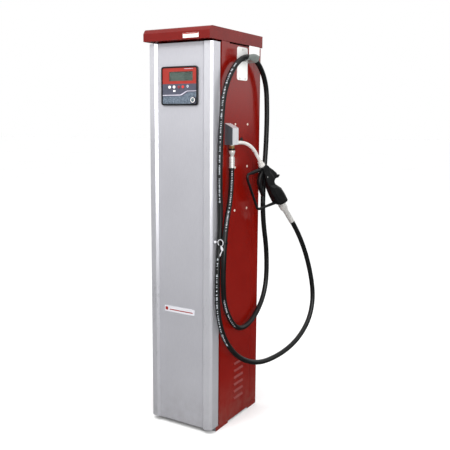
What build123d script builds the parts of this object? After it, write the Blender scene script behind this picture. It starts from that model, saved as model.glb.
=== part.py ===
"""Fuel dispenser with a side-parked nozzle: sheet steel cabinet, pump, meter, hose and nozzle.

Millimetres, +Z up, +X towards the hose side, -Y towards the customer (the front).
The origin is the centre of the four floor anchor holes, on the floor.
"""
import os
from math import atan2, cos, degrees, hypot, radians, sin, tan

from build123d import *

os.makedirs("parts", exist_ok=True)

# ------------------------------------------------------------------ driving dimensions
SHEET = 1.5                 # sheet steel of the cabinet
HALF = 158.0                # half the cabinet's width, outside
INNER = HALF - SHEET        # half the width inside the side panels
BASE_FRONT = -178.0
REAR = 179.0
SEAM = 118.0                # rear edge of the side panels; the door starts 2 mm behind it
DOOR_FRONT = SEAM + 2.0
BASE_H = 20.0               # height of the floor tray
PANEL_TOP = 1650.8
PROFILE_TOP = 1644.0
LID_BOTTOM = 1651.0
TOTAL_H = 1700.0
PANEL_FRONT = -149.0        # front edge of the red side panels
FRONT_FACE = -214.0         # outer face of the centre front panel
FRONT_HALF = 113.0          # half the width of the centre front panel

ANCHOR_X, ANCHOR_Y, ANCHOR_R = 240.0, 260.0, 6.5
CABLE_X, CABLE_Y, CABLE_R = 122.0, 86.0, 8.1

DOOR_PIN = (-150.0, 128.0)  # axis of the rear door's pivot pins
PIN_R = 3.0
RUN_FIT = 0.05              # radial running clearance
LOCK_X, LOCK_Z = 115.0, 850.0

# outlet, nozzle boot and hose hook, all on the right-hand side
OUTLET_X, OUTLET_Y, OUTLET_Z = 178.0, -96.5, 1268.0
BOOT_FRONT, BOOT_BACK, BOOT_OUT = -123.0, -74.0, 197.0
BOOT_LOW, BOOT_HIGH, BOOT_EAVE = 1236.0, 1324.0, 1304.0
HOOK_Y = 15.5               # centre of the hook plate
HOOK_LOW, HOOK_TOP, HOOK_W = 1503.0, 1639.0, 86.0
HOOK_SCREWS = ((0.0, 1630.0), (-23.0, 1510.5), (23.0, 1510.5))
SADDLE_TOP, SADDLE_R = 1584.5, 150.0
RIVET_Y, RIVET_Z = (-35.5, 69.0), (1318.8, 1137.5, 953.1)
PLUG_Y, PLUG_Z, PLUG_R = 15.0, 1251.0, 12.5
LOUVRE_Y, LOUVRE_W = 10.0, 80.0
LOUVRE_Z = [93.0 + 32.4 * i for i in range(6)]

# nozzle: its own plane leans outwards from the boot, u along the pull, t upwards
LEAN = 15.0
SPOUT_TIP = (177.5, -74.0, 1243.0)
SPOUT_R = 7.25
LIFT = (sin(radians(LEAN)), cos(radians(LEAN)), 0.0)
ACROSS = (cos(radians(LEAN)), -sin(radians(LEAN)), 0.0)
NOZZLE = Plane(origin=SPOUT_TIP, x_dir=LIFT, z_dir=ACROSS)
COLLAR = (169.0, -103.0)    # where the spout enters the nozzle body
COLLAR_DIR = (0.568, -0.823)
PIVOT = (176.0, -124.0)     # trigger pivot
SWIVEL = (300.0, -276.0)    # start of the hose swivel's axis
SWIVEL_DIR = (0.643, -0.766)
SWIVEL_LEN = 120.0

HOSE_D = 22.0
HOSE_UP = [
    (178, -96.5, 1140), (178, -96.5, 1030), (194, -168, 912), (201, -192, 792), (197, -192, 671),
    (188, -162, 549), (183, -47, 420), (180, 103, 429), (178, 229, 541), (178, 235, 725),
    (178, 184, 901), (178, 187, 1059), (180, 202, 1215), (186, 197, 1370), (188, 178, 1512),
    (188, 73, 1606), (186, -63, 1589), (178, -162, 1467), (172, -174, 1308), (171.5, -177.5, 1204),
]
HOSE_DOWN = [
    (171.5, -177.5, 1204), (171, -181, 1100), (172, -171, 915), (176, -206, 686), (186, -208, 485),
    (206, -113, 333), (236, 38, 252), (272, 199, 253), (306, 326, 299), (328, 420, 393),
    (324, 456, 530), (296.9, 371.8, 775.4), (275.3, 291.1, 875),
]
TIE_Z = 834.0

# drive line inside the cabinet
DRIVE_Y, DRIVE_Z = -20.0, 380.0
SHELF_Z = 303.0
PUMP_X0, PUMP_X1 = -140.0, -45.0
MOTOR_X1 = 100.0
SHAFT_R = 8.0
PIPE_R, PIPE_BORE = 16.85, 13.5
METER_X, METER_Y, METER_Z0, METER_Z1 = -92.0, -20.0, 760.0, 880.0
INLET_Y = 72.0
GEAR_PITCH = 23.6           # half the distance between the meter's two rotors


def save(piece, label):
    """Name a finished piece and write it as its own STEP file."""
    piece.label = label
    export_step(piece, f"parts/{label}.step")


def on_nozzle(s, t):
    """A point of the nozzle's plane, as model coordinates."""
    return NOZZLE.from_local_coords(Vector(s, t, 0))


def box_between(low, high, mode=Mode.ADD):
    """An axis-aligned box given by two opposite corners."""
    size = [abs(h - l) for l, h in zip(low, high)]
    with Locations(tuple((l + h) / 2 for l, h in zip(low, high))):
        Box(*size, mode=mode)


def rod(start, direction, length, radius, mode=Mode.ADD):
    """A round rod from a point along a direction."""
    foot = (Align.CENTER, Align.CENTER, Align.MIN)
    with Locations(Plane(origin=start, z_dir=direction).location):
        Cylinder(radius, length, align=foot, mode=mode)


# ------------------------------------------------------------------ cabinet
with BuildPart() as base_tray:
    box_between((-INNER + 0.1, BASE_FRONT, 0), (INNER - 0.1, REAR - 0.5, BASE_H))
    box_between((-INNER + 2, BASE_FRONT + 2, 3), (INNER - 2, REAR - 2.5, BASE_H + 1), Mode.SUBTRACT)
    box_between((-135, 25, -1), (140, 112, 4), Mode.SUBTRACT)
    for side in (-1, 1):
        box_between((side * 165, -78, -1), (side * 150, 101, 9), Mode.SUBTRACT)
    with GridLocations(ANCHOR_X, ANCHOR_Y, 2, 2):
        Cylinder(ANCHOR_R, 12, mode=Mode.SUBTRACT)
save(base_tray.part, "base_tray")


def side_panel(side):
    """One red side: sheet with a toe under the front profile, louvres and a front flange."""
    inner, outer = side * INNER, side * HALF
    with BuildPart() as panel:
        with BuildSketch(Plane.YZ.offset(min(inner, outer))):
            with BuildLine():
                Polyline(
                    (BASE_FRONT, 0), (-78, 0), (-78, 9), (101, 9), (101, 0), (REAR - 0.5, 0),
                    (REAR - 0.5, BASE_H + 0.5), (SEAM, BASE_H + 0.5), (SEAM, PANEL_TOP),
                    (86, PANEL_TOP), (86, 1645), (-88, 1645), (-88, PANEL_TOP),
                    (PANEL_FRONT, PANEL_TOP), (PANEL_FRONT, BASE_H - 0.5),
                    (BASE_FRONT, BASE_H - 0.5), close=True,
                )
            make_face()
            for z in LOUVRE_Z:
                with Locations((LOUVRE_Y, z)):
                    Rectangle(LOUVRE_W - 6, 5, mode=Mode.SUBTRACT)
        extrude(amount=SHEET)
        flange = side * (INNER - 9.5)
        box_between((flange, PANEL_FRONT, BASE_H + 1), (inner, PANEL_FRONT + SHEET, PROFILE_TOP))
        box_between(
            (flange, -180, BASE_H + 1), (flange + side * SHEET, PANEL_FRONT + SHEET, PROFILE_TOP)
        )
        if side > 0:
            box_between((flange, SEAM - SHEET, BASE_H + 1), (inner, SEAM, PROFILE_TOP))
        for z in LOUVRE_Z:
            with BuildSketch(Plane.XZ.offset(-(LOUVRE_Y - LOUVRE_W / 2))):
                with BuildLine():
                    Polyline(
                        (inner, z + 3), (inner, z + 8), (outer, z + 9), (outer + side * 4, z - 1),
                        (outer + side * 3, z - 1.6), (outer - side * 0.3, z + 3), close=True,
                    )
                make_face()
            extrude(amount=-LOUVRE_W)
        if side > 0:
            for y in RIVET_Y:
                box_between((INNER - 2, y - 12, RIVET_Z[-1] - 20), (INNER, y + 12, RIVET_Z[0] + 20))
                for z in RIVET_Z:
                    rod((INNER - 3, y, z), (1, 0, 0), SHEET + 4, 2.6, Mode.SUBTRACT)
            for y, z in HOOK_SCREWS:
                rod((INNER - 1, HOOK_Y + y, z), (1, 0, 0), SHEET + 2, 2.6, Mode.SUBTRACT)
            rod((INNER - 1, PLUG_Y, PLUG_Z), (1, 0, 0), SHEET + 2, PLUG_R - 0.9, Mode.SUBTRACT)
            rod((INNER - 1, OUTLET_Y, OUTLET_Z), (1, 0, 0), SHEET + 2, 10.5, Mode.SUBTRACT)
    return panel.part


save(side_panel(1), "side_panel_right")
save(side_panel(-1), "side_panel_left")


def corner_profile(side):
    """Aluminium extrusion: stepped front face, rounded corner, open C at the back."""
    front = FRONT_FACE - 9.5
    with BuildPart() as profile:
        with BuildSketch(Plane.XY.offset(BASE_H)):
            with BuildLine():
                Polyline(
                    (side * FRONT_HALF, FRONT_FACE), (side * 122.5, front),
                    (side * 149, front + 4.5), (side * HALF, FRONT_FACE + 5), (side * HALF, -160),
                    (side * 150, -160), (side * 150, -163.5), (side * 154.5, -163.5),
                    (side * 154.5, FRONT_FACE + 6), (side * 147, FRONT_FACE - 1.5),
                    (side * 124, front + 3.8), (side * 116.5, FRONT_FACE + 1.7), (side * 116.5, -198),
                    (side * FRONT_HALF, -198), close=True,
                )
            face = make_face()
            outer = [v for v in face.vertices() if abs(v.X) > 148 and v.Y < -208]
            fillet(outer, 7)
            crest = face.vertices().sort_by(Axis.Y)[0]
            fillet(crest, 1.5)
        extrude(amount=PROFILE_TOP - BASE_H)
    return profile.part


save(corner_profile(1), "corner_profile_right")
save(corner_profile(-1), "corner_profile_left")

FACE_X = 90.0               # half the control panel's width
FACE_Z0, FACE_Z1 = 1394.0, 1550.5
FACE_MID = (FACE_Z0 + FACE_Z1) / 2
BEZEL_FRONT = FRONT_FACE - 9.0
FACIA_FRONT = BEZEL_FRONT + 3.0

with BuildPart() as front_panel:
    with BuildSketch(Plane.XY.offset(BASE_H)):
        with BuildLine():
            Polyline(
                (-112.8, FRONT_FACE), (112.8, FRONT_FACE), (112.8, -200), (111.3, -200),
                (111.3, FRONT_FACE + 2), (-111.3, FRONT_FACE + 2), (-111.3, -200), (-112.8, -200),
                close=True,
            )
        make_face()
    extrude(amount=PROFILE_TOP - BASE_H)
    box_between((-82, FRONT_FACE - 5, 1402), (82, FRONT_FACE + 5, 1542.5), Mode.SUBTRACT)
save(front_panel.part, "front_panel")

with BuildPart() as front_crossbars:
    for z in (60.0, 700.0, 1340.0, 1600.0):
        box_between((-INNER + 9.6, -197.8, z), (INNER - 9.6, -195.8, z + 30))
        for side in (-1, 1):
            box_between((side * (INNER - 11.6), -196, z), (side * (INNER - 9.6), -150, z + 30))
save(front_crossbars.part, "front_crossbars")

with BuildPart() as lid:
    with BuildSketch(Plane.YZ.offset(-162)):
        with BuildLine():
            Polyline(
                (-245, LID_BOTTOM), (187, LID_BOTTOM), (187, TOTAL_H), (-232.4, TOTAL_H),
                (-245, 1682), close=True,
            )
        face = make_face()
        fillet(face.vertices().group_by(Axis.Y)[-1].sort_by(Axis.Z)[-1], 14)
    extrude(amount=324)
    with BuildSketch(Plane.YZ.offset(-160)):
        with BuildLine():
            Polyline(
                (-243, LID_BOTTOM - 1), (185, LID_BOTTOM - 1), (185, TOTAL_H - 2),
                (-231.4, TOTAL_H - 2), (-243, 1681.4), close=True,
            )
        face = make_face()
        fillet(face.vertices().group_by(Axis.Y)[-1].sort_by(Axis.Z)[-1], 12)
    extrude(amount=320, mode=Mode.SUBTRACT)
    box_between((-161, -244, LID_BOTTOM), (161, 186, LID_BOTTOM + 2))
    box_between((-120, -180, LID_BOTTOM - 1), (120, 100, LID_BOTTOM + 3), Mode.SUBTRACT)
save(lid.part, "lid")

with BuildPart() as badges:
    box_between((-84, FRONT_FACE - 1.2, 514), (71, FRONT_FACE, 541))
    fillet(badges.edges().filter_by(Axis.Y), 4)
    box_between((36, -246, 1656), (110, -245, 1674.5))
save(badges.part, "badges")

# ------------------------------------------------------------------ rear door and its lock
DOOR_Z0, DOOR_Z1 = BASE_H + 2, 1648.0
with BuildPart() as rear_door:
    with BuildSketch(Plane.XY.offset(DOOR_Z0)):
        with BuildLine():
            Polyline(
                (HALF, DOOR_FRONT), (HALF, REAR), (-HALF, REAR), (-HALF, DOOR_FRONT),
                (-INNER, DOOR_FRONT), (-INNER, REAR - SHEET), (INNER, REAR - SHEET),
                (INNER, DOOR_FRONT), close=True,
            )
        make_face()
    extrude(amount=DOOR_Z1 - DOOR_Z0)
    for z in (DOOR_Z0, DOOR_Z1 - SHEET):
        box_between((-INNER, DOOR_FRONT + 1, z), (INNER, REAR - SHEET, z + SHEET))
        rod((*DOOR_PIN, z - 1), (0, 0, 1), SHEET + 2, PIN_R + RUN_FIT, Mode.SUBTRACT)
    rod((LOCK_X, REAR - 5, LOCK_Z), (0, 1, 0), 10, 9.1, Mode.SUBTRACT)
save(rear_door.part, "rear_door")

with BuildPart() as door_pins:
    rod((*DOOR_PIN, 3), (0, 0, 1), 18, 4.3)
    rod((*DOOR_PIN, 20), (0, 0, 1), 8, PIN_R)
    rod((*DOOR_PIN, LID_BOTTOM - 2.5), (0, 0, 1), 2.5, 7)
    rod((*DOOR_PIN, LID_BOTTOM - 9), (0, 0, 1), 9, PIN_R)
save(door_pins.part, "door_pins")

with BuildPart() as door_lock:
    rod((LOCK_X, REAR, LOCK_Z), (0, 1, 0), 3, 13)
    rod((LOCK_X, 117, LOCK_Z), (0, 1, 0), REAR - 115, 9)
    rod((LOCK_X, 110, LOCK_Z), (0, 1, 0), 80, 6 + RUN_FIT, Mode.SUBTRACT)
save(door_lock.part, "door_lock")

with BuildPart() as lock_core:
    rod((LOCK_X, 112, LOCK_Z), (0, 1, 0), REAR + 2 - 112, 6)
    box_between((LOCK_X - 1, REAR - 6, LOCK_Z - 4), (LOCK_X + 1, REAR + 3, LOCK_Z + 4), Mode.SUBTRACT)
    with BuildSketch(Plane.XZ.offset(-113)):
        with Locations((LOCK_X, LOCK_Z + 12)):
            SlotOverall(52, 16, rotation=90)
    extrude(amount=-3)
save(lock_core.part, "lock_core")

# ------------------------------------------------------------------ control panel
with BuildPart() as bezel:
    with BuildSketch(Plane.XZ.offset(-FRONT_FACE)):
        with Locations((0, FACE_MID)):
            RectangleRounded(2 * FACE_X, FACE_Z1 - FACE_Z0, 12)
            RectangleRounded(2 * FACE_X - 12, FACE_Z1 - FACE_Z0 - 12, 7, mode=Mode.SUBTRACT)
    extrude(amount=9)
    fillet(bezel.faces().sort_by(Axis.Y)[0].outer_wire().edges(), 2.5)
save(bezel.part, "bezel")

KEY_Z, KEY_R, KEY_X = 1468.0, 6.0, (-47.5, -25.0, -1.5, 18.5)
LED_X, LED_Z = 41.0, 1470.0
READER_X, READER_Z, READER_R = 68.0, 1415.5, 12.0
WINDOW = ((-51.5, 1492.0), (65.5, 1529.0))
FACIA_HALF = FACE_X - 6.3
FACIA_SPLIT = 1480.0

with BuildPart() as display_facia:
    box_between(
        (-FACIA_HALF, FACIA_FRONT, FACIA_SPLIT + 0.2), (FACIA_HALF, FACIA_FRONT + 4, FACE_Z1 - 6.3)
    )
    fillet(display_facia.edges().filter_by(Axis.Y).group_by(Axis.Z)[-1], 6.5)
    box_between((WINDOW[0][0], -230, WINDOW[0][1]), (WINDOW[1][0], -210, WINDOW[1][1]), Mode.SUBTRACT)
save(display_facia.part, "display_facia")

with BuildPart() as display_window:
    box_between(
        (WINDOW[0][0] + 0.2, FACIA_FRONT + 2.2, WINDOW[0][1] + 0.2),
        (WINDOW[1][0] - 0.2, FACIA_FRONT + 3.8, WINDOW[1][1] - 0.2),
    )
save(display_window.part, "display_window")

with BuildPart() as display_module:
    box_between((-56, FACIA_FRONT + 4.2, 1488), (70, FACIA_FRONT + 13, 1533))
save(display_module.part, "display_module")

with BuildPart() as keypad_facia:
    box_between((-FACIA_HALF, FACIA_FRONT, FACE_Z0 + 6.3), (FACIA_HALF, FACIA_FRONT + 4, FACIA_SPLIT))
    fillet(keypad_facia.edges().filter_by(Axis.Y).group_by(Axis.Z)[0], 6.5)
    for x in KEY_X:
        rod((x, -230, KEY_Z), (0, 1, 0), 20, KEY_R + 0.4, Mode.SUBTRACT)
    rod((LED_X, -230, LED_Z), (0, 1, 0), 20, 2.6, Mode.SUBTRACT)
    rod((READER_X, -230, READER_Z), (0, 1, 0), 20, 9.1, Mode.SUBTRACT)
save(keypad_facia.part, "keypad_facia")

for index, x in enumerate(KEY_X, start=1):
    with BuildPart() as key:
        rod((x, FACIA_FRONT - 3, KEY_Z), (0, 1, 0), 8, KEY_R)
        fillet(key.faces().sort_by(Axis.Y)[0].edges(), 1.2)
        rod((x, FACIA_FRONT + 4.3, KEY_Z), (0, 1, 0), 1, KEY_R + 2)
    save(key.part, f"key_{index}")

with BuildPart() as key_reader:
    rod((READER_X, FACIA_FRONT - 4, READER_Z), (0, 1, 0), 4, READER_R)
    rod((READER_X, FACIA_FRONT, READER_Z), (0, 1, 0), 12, 9)
    rod((READER_X, FACIA_FRONT - 5, READER_Z), (0, 1, 0), 6, 7.5, Mode.SUBTRACT)
    rod((READER_X, FACIA_FRONT - 3, READER_Z), (0, 1, 0), 5, 2.5)
save(key_reader.part, "key_reader")

with BuildPart() as control_housing:
    box_between((-88, FRONT_FACE + 2, 1399), (88, -140, 1545.5))
    box_between((-86, FRONT_FACE + 1, 1401), (86, -142, 1543.5), Mode.SUBTRACT)
    rod((0, -145, 1420), (0, 1, 0), 10, 10, Mode.SUBTRACT)
save(control_housing.part, "control_housing")

with BuildPart() as control_board:
    box_between((-82, -200, 1405), (82, -198.4, 1540))
    for x in (-78, 78):
        for z in (1409, 1536):
            rod((x, -198.5, z), (0, 1, 0), 56.5, 3)
    for x, z, w, h in ((-50, 1440, 24, 24), (10, 1450, 40, 14), (55, 1500, 30, 40)):
        box_between((x - w / 2, -198.5, z - h / 2), (x + w / 2, -190, z + h / 2))
    rod((LED_X, FACIA_FRONT - 1, LED_Z), (0, 1, 0), -199 - FACIA_FRONT, 2.5)
    fillet(control_board.faces().sort_by(Axis.Y)[0].edges(), 1.5)
save(control_board.part, "control_board")

# ------------------------------------------------------------------ hook, plug, rivets and boot
LIP_X, LIP_TOP, LIP_R = 218.0, 1638.0, 22.0
with BuildPart() as hose_hook:
    swing = radians(24)
    centre = (0, HOOK_Y, SADDLE_TOP - SADDLE_R)
    with BuildSketch(Plane(origin=centre, x_dir=(1, 0, 0), z_dir=(0, -cos(swing), sin(swing)))):
        with BuildLine():
            FilletPolyline(
                (HALF + 1, SADDLE_R - 1.25), (LIP_X - 1.25, SADDLE_R - 1.25),
                (LIP_X - 1.25, SADDLE_R + LIP_TOP - SADDLE_TOP + 4), radius=LIP_R,
            )
        trace(line_width=2.5)
    revolve(axis=Axis(centre, (1, 0, 0)), revolution_arc=48)
    half = HOOK_W / 2 - 1
    box_between((HALF + 1, HOOK_Y - half, 1500), (LIP_X + 5, HOOK_Y + half, LIP_TOP), Mode.INTERSECT)
    lip_corners = hose_hook.edges().filter_by(Axis.X).group_by(Axis.Z)[-1]
    fillet(lip_corners, 12)
    with BuildSketch(Plane.YZ.offset(HALF)):
        with Locations((HOOK_Y, (HOOK_LOW + HOOK_TOP) / 2)):
            RectangleRounded(HOOK_W, HOOK_TOP - HOOK_LOW, 11)
    extrude(amount=2.5)
    for y, z in HOOK_SCREWS:
        rod((HALF - 1, HOOK_Y + y, z), (1, 0, 0), 5, 2.6, Mode.SUBTRACT)
save(hose_hook.part, "hose_hook")


def panel_heads(places, seat, head_r, head_h, shank):
    """Domed heads on the right-hand panel, each with its shank through the panel."""
    with BuildPart() as heads:
        for y, z in places:
            with BuildSketch(Plane.XZ.offset(-y)) as profile:
                with BuildLine():
                    Line((seat, z), (seat + head_h, z))
                    ThreePointArc(
                        (seat + head_h, z),
                        (seat + 0.62 * head_h, z + 0.72 * head_r),
                        (seat, z + head_r),
                    )
                    Line((seat, z + head_r), (seat, z))
                make_face()
            revolve(profile.sketch, axis=Axis((0, y, z), (1, 0, 0)))
            rod((seat - shank, y, z), (1, 0, 0), shank, 2.5)
    return heads.part


side_rivets = panel_heads([(y, z) for y in RIVET_Y for z in RIVET_Z], HALF, 5.5, 2.4, 4)
save(side_rivets, "side_rivets")
hook_screws = panel_heads([(HOOK_Y + y, z) for y, z in HOOK_SCREWS], HALF + 2.5, 4.5, 2.2, 9)
save(hook_screws, "hook_screws")

with BuildPart() as hole_plug:
    rod((HALF, PLUG_Y, PLUG_Z), (1, 0, 0), 2, PLUG_R)
    rod((HALF - 5, PLUG_Y, PLUG_Z), (1, 0, 0), 5, PLUG_R - 1)
save(hole_plug.part, "hole_plug")

with BuildPart() as boot_housing:
    with BuildSketch(Plane.XZ.offset(-BOOT_FRONT)):
        with BuildLine():
            Polyline(
                (HALF, BOOT_LOW), (BOOT_OUT, BOOT_LOW), (BOOT_OUT, BOOT_EAVE), (HALF, BOOT_HIGH),
                close=True,
            )
        make_face()
    extrude(amount=BOOT_FRONT - BOOT_BACK)
    fillet(boot_housing.edges().filter_by(Axis.Z).group_by(Axis.X)[-1], 2.5)
    with BuildSketch(Plane.XZ.offset(-(BOOT_FRONT + SHEET))):
        with BuildLine():
            Polyline(
                (HALF - 1, BOOT_LOW + SHEET), (BOOT_OUT - SHEET, BOOT_LOW + SHEET),
                (BOOT_OUT - SHEET, BOOT_EAVE - 1), (HALF - 1, BOOT_HIGH - 1.2), close=True,
            )
        make_face()
    extrude(amount=BOOT_FRONT - BOOT_BACK + 2 * SHEET, mode=Mode.SUBTRACT)
    rod((OUTLET_X, OUTLET_Y, BOOT_LOW - 1), (0, 0, 1), 5, 10, Mode.SUBTRACT)
    with BuildSketch(Plane.XZ.offset(-(BOOT_BACK + 1))):
        with Locations((SPOUT_TIP[0], BOOT_LOW + SHEET + 4.5)):
            Rectangle(18, 9)
        with Locations((SPOUT_TIP[0], BOOT_LOW + SHEET + 8.5)):
            Circle(9)
        with Locations((SPOUT_TIP[0], BOOT_LOW - 8)):
            Rectangle(40, 16 + 2 * SHEET, mode=Mode.SUBTRACT)
    extrude(amount=4, mode=Mode.SUBTRACT)
save(boot_housing.part, "boot_housing")

BLADE_Y, BLADE_TOP, SWITCH_X = -85.3, 1294.0, 177.0
with BuildPart() as boot_switch:
    box_between((SWITCH_X - 7, -96, 1281), (SWITCH_X + 7, -88.5, 1299))
    box_between((HALF, -96, 1281), (SWITCH_X - 6, -94, 1299))
    for x in (SWITCH_X - 7, SWITCH_X + 5.4):
        box_between((x, -89, BLADE_TOP - 3), (x + 1.6, -82.5, BLADE_TOP + 3))
    rod((SWITCH_X - 7, BLADE_Y, BLADE_TOP), (1, 0, 0), 14, 1)
save(boot_switch.part, "boot_switch")

with BuildPart() as switch_lever:
    rod((SWITCH_X - 4.5, BLADE_Y, BLADE_TOP), (1, 0, 0), 9, 2.2)
    box_between((SWITCH_X - 4.5, BLADE_Y - 0.6, 1242), (SWITCH_X + 4.5, BLADE_Y + 0.3, BLADE_TOP))
    rod((SWITCH_X - 6, BLADE_Y, BLADE_TOP), (1, 0, 0), 12, 1 + RUN_FIT, Mode.SUBTRACT)
save(switch_lever.part, "switch_lever")

# ------------------------------------------------------------------ outlet and hose coupling
with BuildPart() as hose_nipple:
    with BuildSketch(Plane.XY.offset(1221)):
        with Locations((OUTLET_X, OUTLET_Y)):
            RegularPolygon(12.5, 6)
    extrude(amount=BOOT_LOW - 4 - 1221)
    rod((OUTLET_X, OUTLET_Y, 1221), (0, 0, -1), 9, 9)
    rod((OUTLET_X, OUTLET_Y, 1233), (0, 0, -1), 30, 5.5, Mode.SUBTRACT)
save(hose_nipple.part, "hose_nipple")

with BuildPart() as nipple_ring:
    rod((OUTLET_X, OUTLET_Y, 1213.5), (0, 0, 1), 6, 14)
    rod((OUTLET_X, OUTLET_Y, 1212), (0, 0, 1), 10, 9.05, Mode.SUBTRACT)
    fillet(nipple_ring.edges().group_by(SortBy.LENGTH)[-1], 2)
save(nipple_ring.part, "nipple_ring")

FERRULE_TOP, HOSE_TOP = 1188.0, HOSE_UP[0][2]
with BuildPart() as hose_union:
    with BuildSketch(Plane.XZ.offset(-OUTLET_Y)) as union_profile:
        with BuildLine():
            Polyline(
                (OUTLET_X, 1212), (OUTLET_X + 13.5, 1212), (OUTLET_X + 13.5, 1204),
                (OUTLET_X + 7, FERRULE_TOP), (OUTLET_X, FERRULE_TOP), close=True,
            )
        make_face()
    revolve(axis=Axis((OUTLET_X, OUTLET_Y, 0), (0, 0, 1)))
    rod((OUTLET_X, OUTLET_Y, HOSE_TOP), (0, 0, 1), FERRULE_TOP - 3 - HOSE_TOP, 12)
    rod((OUTLET_X, OUTLET_Y, FERRULE_TOP - 3), (0, 0, 1), 3, 9)
    rod((OUTLET_X, OUTLET_Y, 1213), (0, 0, -1), 80, 5, Mode.SUBTRACT)
    for z in (1150, 1160, 1170):
        with BuildSketch(Plane.XY.offset(z)):
            with Locations((OUTLET_X, OUTLET_Y)):
                Circle(14)
                Circle(11.2, mode=Mode.SUBTRACT)
        extrude(amount=4, mode=Mode.SUBTRACT)
save(hose_union.part, "hose_union")


def hose(route, label):
    """Straight runs joined by arcs as large as the two runs allow."""
    points = [Vector(*p) for p in route]
    radii = []
    for before, here, after in zip(points, points[1:], points[2:]):
        shorter = min((here - before).length, (after - here).length)
        turn = (here - before).get_angle(after - here)
        radii.append(0.45 * shorter / tan(radians(turn / 2)))
    with BuildPart() as tube:
        with BuildLine() as path:
            FilletPolyline(*route, radius=radii)
        with BuildSketch(Plane(origin=route[0], z_dir=points[1] - points[0])):
            Circle(HOSE_D / 2)
        sweep(path=path.wires()[0])
    length = path.wires()[0].length
    section = HOSE_D**2 * 0.785398
    print(label, "length", round(length), "smallest radius", round(min(radii)))
    print("   volume / (section x length) =", round(tube.part.volume / section / length, 4))
    print("   radii", [round(r) for r in radii])
    save(tube.part, label)
    return length


hose_length = hose(HOSE_UP, "hose_upper") + hose(HOSE_DOWN, "hose_lower")
print("hose length in all", round(hose_length))

TIE_A, TIE_B = (173.4, -183.1), (198.3, -182.9)
with BuildPart() as hose_tie:
    middle = ((TIE_A[0] + TIE_B[0]) / 2, (TIE_A[1] + TIE_B[1]) / 2)
    spread = hypot(TIE_B[0] - TIE_A[0], TIE_B[1] - TIE_A[1])
    TIE_TURN = degrees(atan2(TIE_B[1] - TIE_A[1], TIE_B[0] - TIE_A[0]))
    with BuildSketch(Plane.XY.offset(TIE_Z)):
        with Locations(middle):
            SlotCenterToCenter(spread, 2 * 14.3, rotation=TIE_TURN)
            SlotCenterToCenter(spread, 2 * 12.5, rotation=TIE_TURN, mode=Mode.SUBTRACT)
    extrude(amount=7)
    rod((middle[0], middle[1] - 13.6, TIE_Z + 3.5), (0.3, -0.8, -0.5), 22, 2.5)
save(hose_tie.part, "hose_tie")

# ------------------------------------------------------------------ nozzle
with BuildPart() as spout:
    tail = (COLLAR[0], COLLAR[1])
    with BuildLine(NOZZLE) as spout_path:
        FilletPolyline((-9, 2.5), (98, -1.5), tail, radius=120)
    with BuildSketch(Plane(origin=on_nozzle(-9, 2.5), z_dir=on_nozzle(98, -1.5) - on_nozzle(-9, 2.5))):
        Circle(SPOUT_R)
        Circle(SPOUT_R - 1.5, mode=Mode.SUBTRACT)
    sweep(path=spout_path.wires()[0])
save(spout.part, "spout")

collar_axis = (on_nozzle(*COLLAR_DIR) - on_nozzle(0, 0)).normalized()
with BuildPart() as spout_collar:
    rod(on_nozzle(*COLLAR), -collar_axis, 10, 15)
    rod(on_nozzle(*COLLAR) - collar_axis * 10, -collar_axis, 14, 11.5)
    rod(on_nozzle(*COLLAR) + collar_axis, -collar_axis, 40, SPOUT_R + 0.15, Mode.SUBTRACT)
save(spout_collar.part, "spout_collar")

swivel_axis = (on_nozzle(*SWIVEL_DIR) - on_nozzle(0, 0)).normalized()
swivel_start = on_nozzle(*SWIVEL)
BODY_HALF, SLOT_HALF = 18.0, 9.6
with BuildPart() as nozzle_body:
    with BuildSketch(NOZZLE):
        with BuildLine():
            Polyline(
                (158, -111), (181.5, -94.8), (198, -106), (226, -121), (258, -143), (277, -146),
                (267, -157), (246, -162), (238, -174), (247, -187), (281, -204), (304, -229),
                (330, -263), (322, -275), (300, -283), (282, -283), (254, -271), (232, -238),
                (210, -200), (192, -186), (182, -158), (170, -134), close=True,
            )
        make_face()
    extrude(amount=BODY_HALF, both=True)
    rim = nozzle_body.faces().filter_by(lambda f: abs(f.normal_at().dot(Vector(*ACROSS))) > 0.99)
    fillet(rim.edges(), 6)
    with BuildSketch(NOZZLE):
        with BuildLine():
            Polyline(
                (150, -112), (187, -112), (190, -135), (198, -165), (200, -190), (176, -196),
                (150, -150), close=True,
            )
        make_face()
    extrude(amount=SLOT_HALF, both=True, mode=Mode.SUBTRACT)
    rod(on_nozzle(*PIVOT) - Vector(*ACROSS) * 30, ACROSS, 60, PIN_R + RUN_FIT, Mode.SUBTRACT)
    rod(swivel_start - swivel_axis * 20, swivel_axis, 60, 16.02, Mode.SUBTRACT)
    rod(swivel_start + swivel_axis * 6, swivel_axis, 40, 18.2, Mode.SUBTRACT)
save(nozzle_body.part, "nozzle_body")

with BuildPart() as lever_pin:
    rod(on_nozzle(*PIVOT) - Vector(*ACROSS) * 17, ACROSS, 34, PIN_R)
    for side in (-1, 1):
        rod(on_nozzle(*PIVOT) + Vector(*ACROSS) * 16 * side, Vector(*ACROSS) * side, 3, PIN_R)
save(lever_pin.part, "lever_pin")

with BuildPart() as trigger:
    with BuildSketch(NOZZLE):
        with BuildLine():
            arm = FilletPolyline(PIVOT, (158, -148), (153, -169), (158, -192), (181, -234), radius=14)
        trace(arm, 11)
        with Locations(PIVOT):
            Circle(8)
        with Locations((181, -234)):
            Circle(5.5)
    extrude(amount=SLOT_HALF - 0.6, both=True)
    rod(on_nozzle(*PIVOT) - Vector(*ACROSS) * 30, ACROSS, 60, PIN_R + RUN_FIT, Mode.SUBTRACT)
save(trigger.part, "trigger")

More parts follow.
